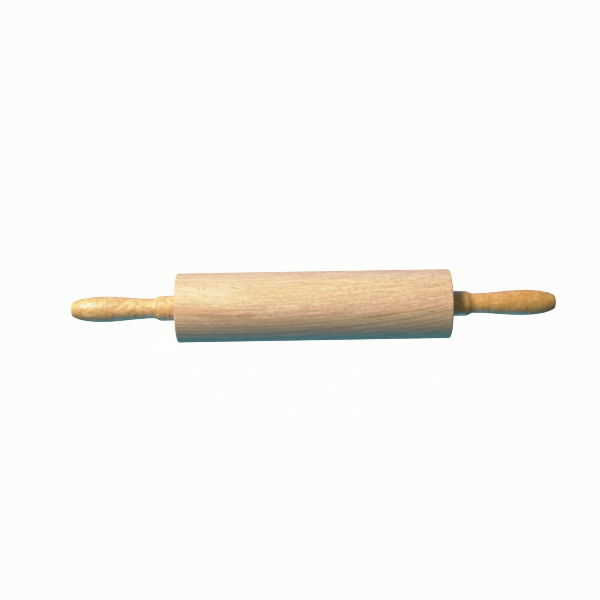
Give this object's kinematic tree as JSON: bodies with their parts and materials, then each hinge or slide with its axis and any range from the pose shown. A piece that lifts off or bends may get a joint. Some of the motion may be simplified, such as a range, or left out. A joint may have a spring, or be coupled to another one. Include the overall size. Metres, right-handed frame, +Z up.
{
  "type": "rolling pin",
  "caption": "Wooden rolling pin: a cylindrical barrel turns in ball bearings on a steel axle, with a turned and varnished wooden handle at each end.",
  "frame": {"origin": "on the surface that the barrel rests on, below the middle of the barrel", "axes": "+X along the pin from the left handle to the right one, +Y away from the user, +Z up; the axle's axis is parallel to X, 32 mm above the origin"},
  "size_m": [0.4436, 0.064, 0.064],
  "materials": {
    "beech_sanded": "sanded smooth, unvarnished, pale pinkish tan with short dark flecks",
    "beech_varnished": "glossy clear varnish over warm amber wood",
    "bright_steel": "bright drawn",
    "bearing_steel": "ground",
    "ball_steel": "polished",
    "pressed_steel": "pressed strip",
    "shield_steel": "pressed sheet",
    "spring_steel": "phosphated, dark",
    "zinc_plated_steel": "zinc plated",
    "brass": "machined"
  },
  "bodies": {
    "roller": {"barrel": "beech_sanded", "left_bearing_outer_ring": "bearing_steel", "right_bearing_outer_ring": "bearing_steel", "left_bearing_outboard_shield": "shield_steel", "right_bearing_outboard_shield": "shield_steel", "left_bearing_inboard_shield": "shield_steel", "right_bearing_inboard_shield": "shield_steel"},
    "handle_assembly": {"axle": "bright_steel", "left_handle": "beech_varnished", "right_handle": "beech_varnished", "left_thread_insert": "brass", "right_thread_insert": "brass", "left_washer": "zinc_plated_steel", "right_washer": "zinc_plated_steel", "left_circlip": "spring_steel", "right_circlip": "spring_steel", "left_bearing_inner_ring": "bearing_steel", "right_bearing_inner_ring": "bearing_steel"},
    "left_cage": {"left_bearing_outboard_cage_half": "pressed_steel", "left_bearing_inboard_cage_half": "pressed_steel", "left_bearing_ball_1": "ball_steel", "left_bearing_ball_2": "ball_steel", "left_bearing_ball_3": "ball_steel", "left_bearing_ball_4": "ball_steel", "left_bearing_ball_5": "ball_steel", "left_bearing_ball_6": "ball_steel", "left_bearing_ball_7": "ball_steel"},
    "right_cage": {"right_bearing_outboard_cage_half": "pressed_steel", "right_bearing_inboard_cage_half": "pressed_steel", "right_bearing_ball_1": "ball_steel", "right_bearing_ball_2": "ball_steel", "right_bearing_ball_3": "ball_steel", "right_bearing_ball_4": "ball_steel", "right_bearing_ball_5": "ball_steel", "right_bearing_ball_6": "ball_steel", "right_bearing_ball_7": "ball_steel"}
  },
  "joints": [
    {"name": "barrel_spin", "type": "hinge", "parent": "roller", "child": "handle_assembly", "pos_m": [0, 0, 0.032], "axis": [1, 0, 0], "continuous": true},
    {"name": "left_cage_orbit", "type": "hinge", "parent": "roller", "child": "left_cage", "pos_m": [-0.1203, 0, 0.032], "axis": [1, 0, 0], "continuous": true},
    {"name": "right_cage_orbit", "type": "hinge", "parent": "roller", "child": "right_cage", "pos_m": [0.1203, 0, 0.032], "axis": [1, 0, 0], "continuous": true}
  ],
  "couplings": [
    {"joint": "left_cage_orbit", "follows": "barrel_spin", "ratio": 0.368},
    {"joint": "right_cage_orbit", "follows": "barrel_spin", "ratio": 0.368}
  ]
}
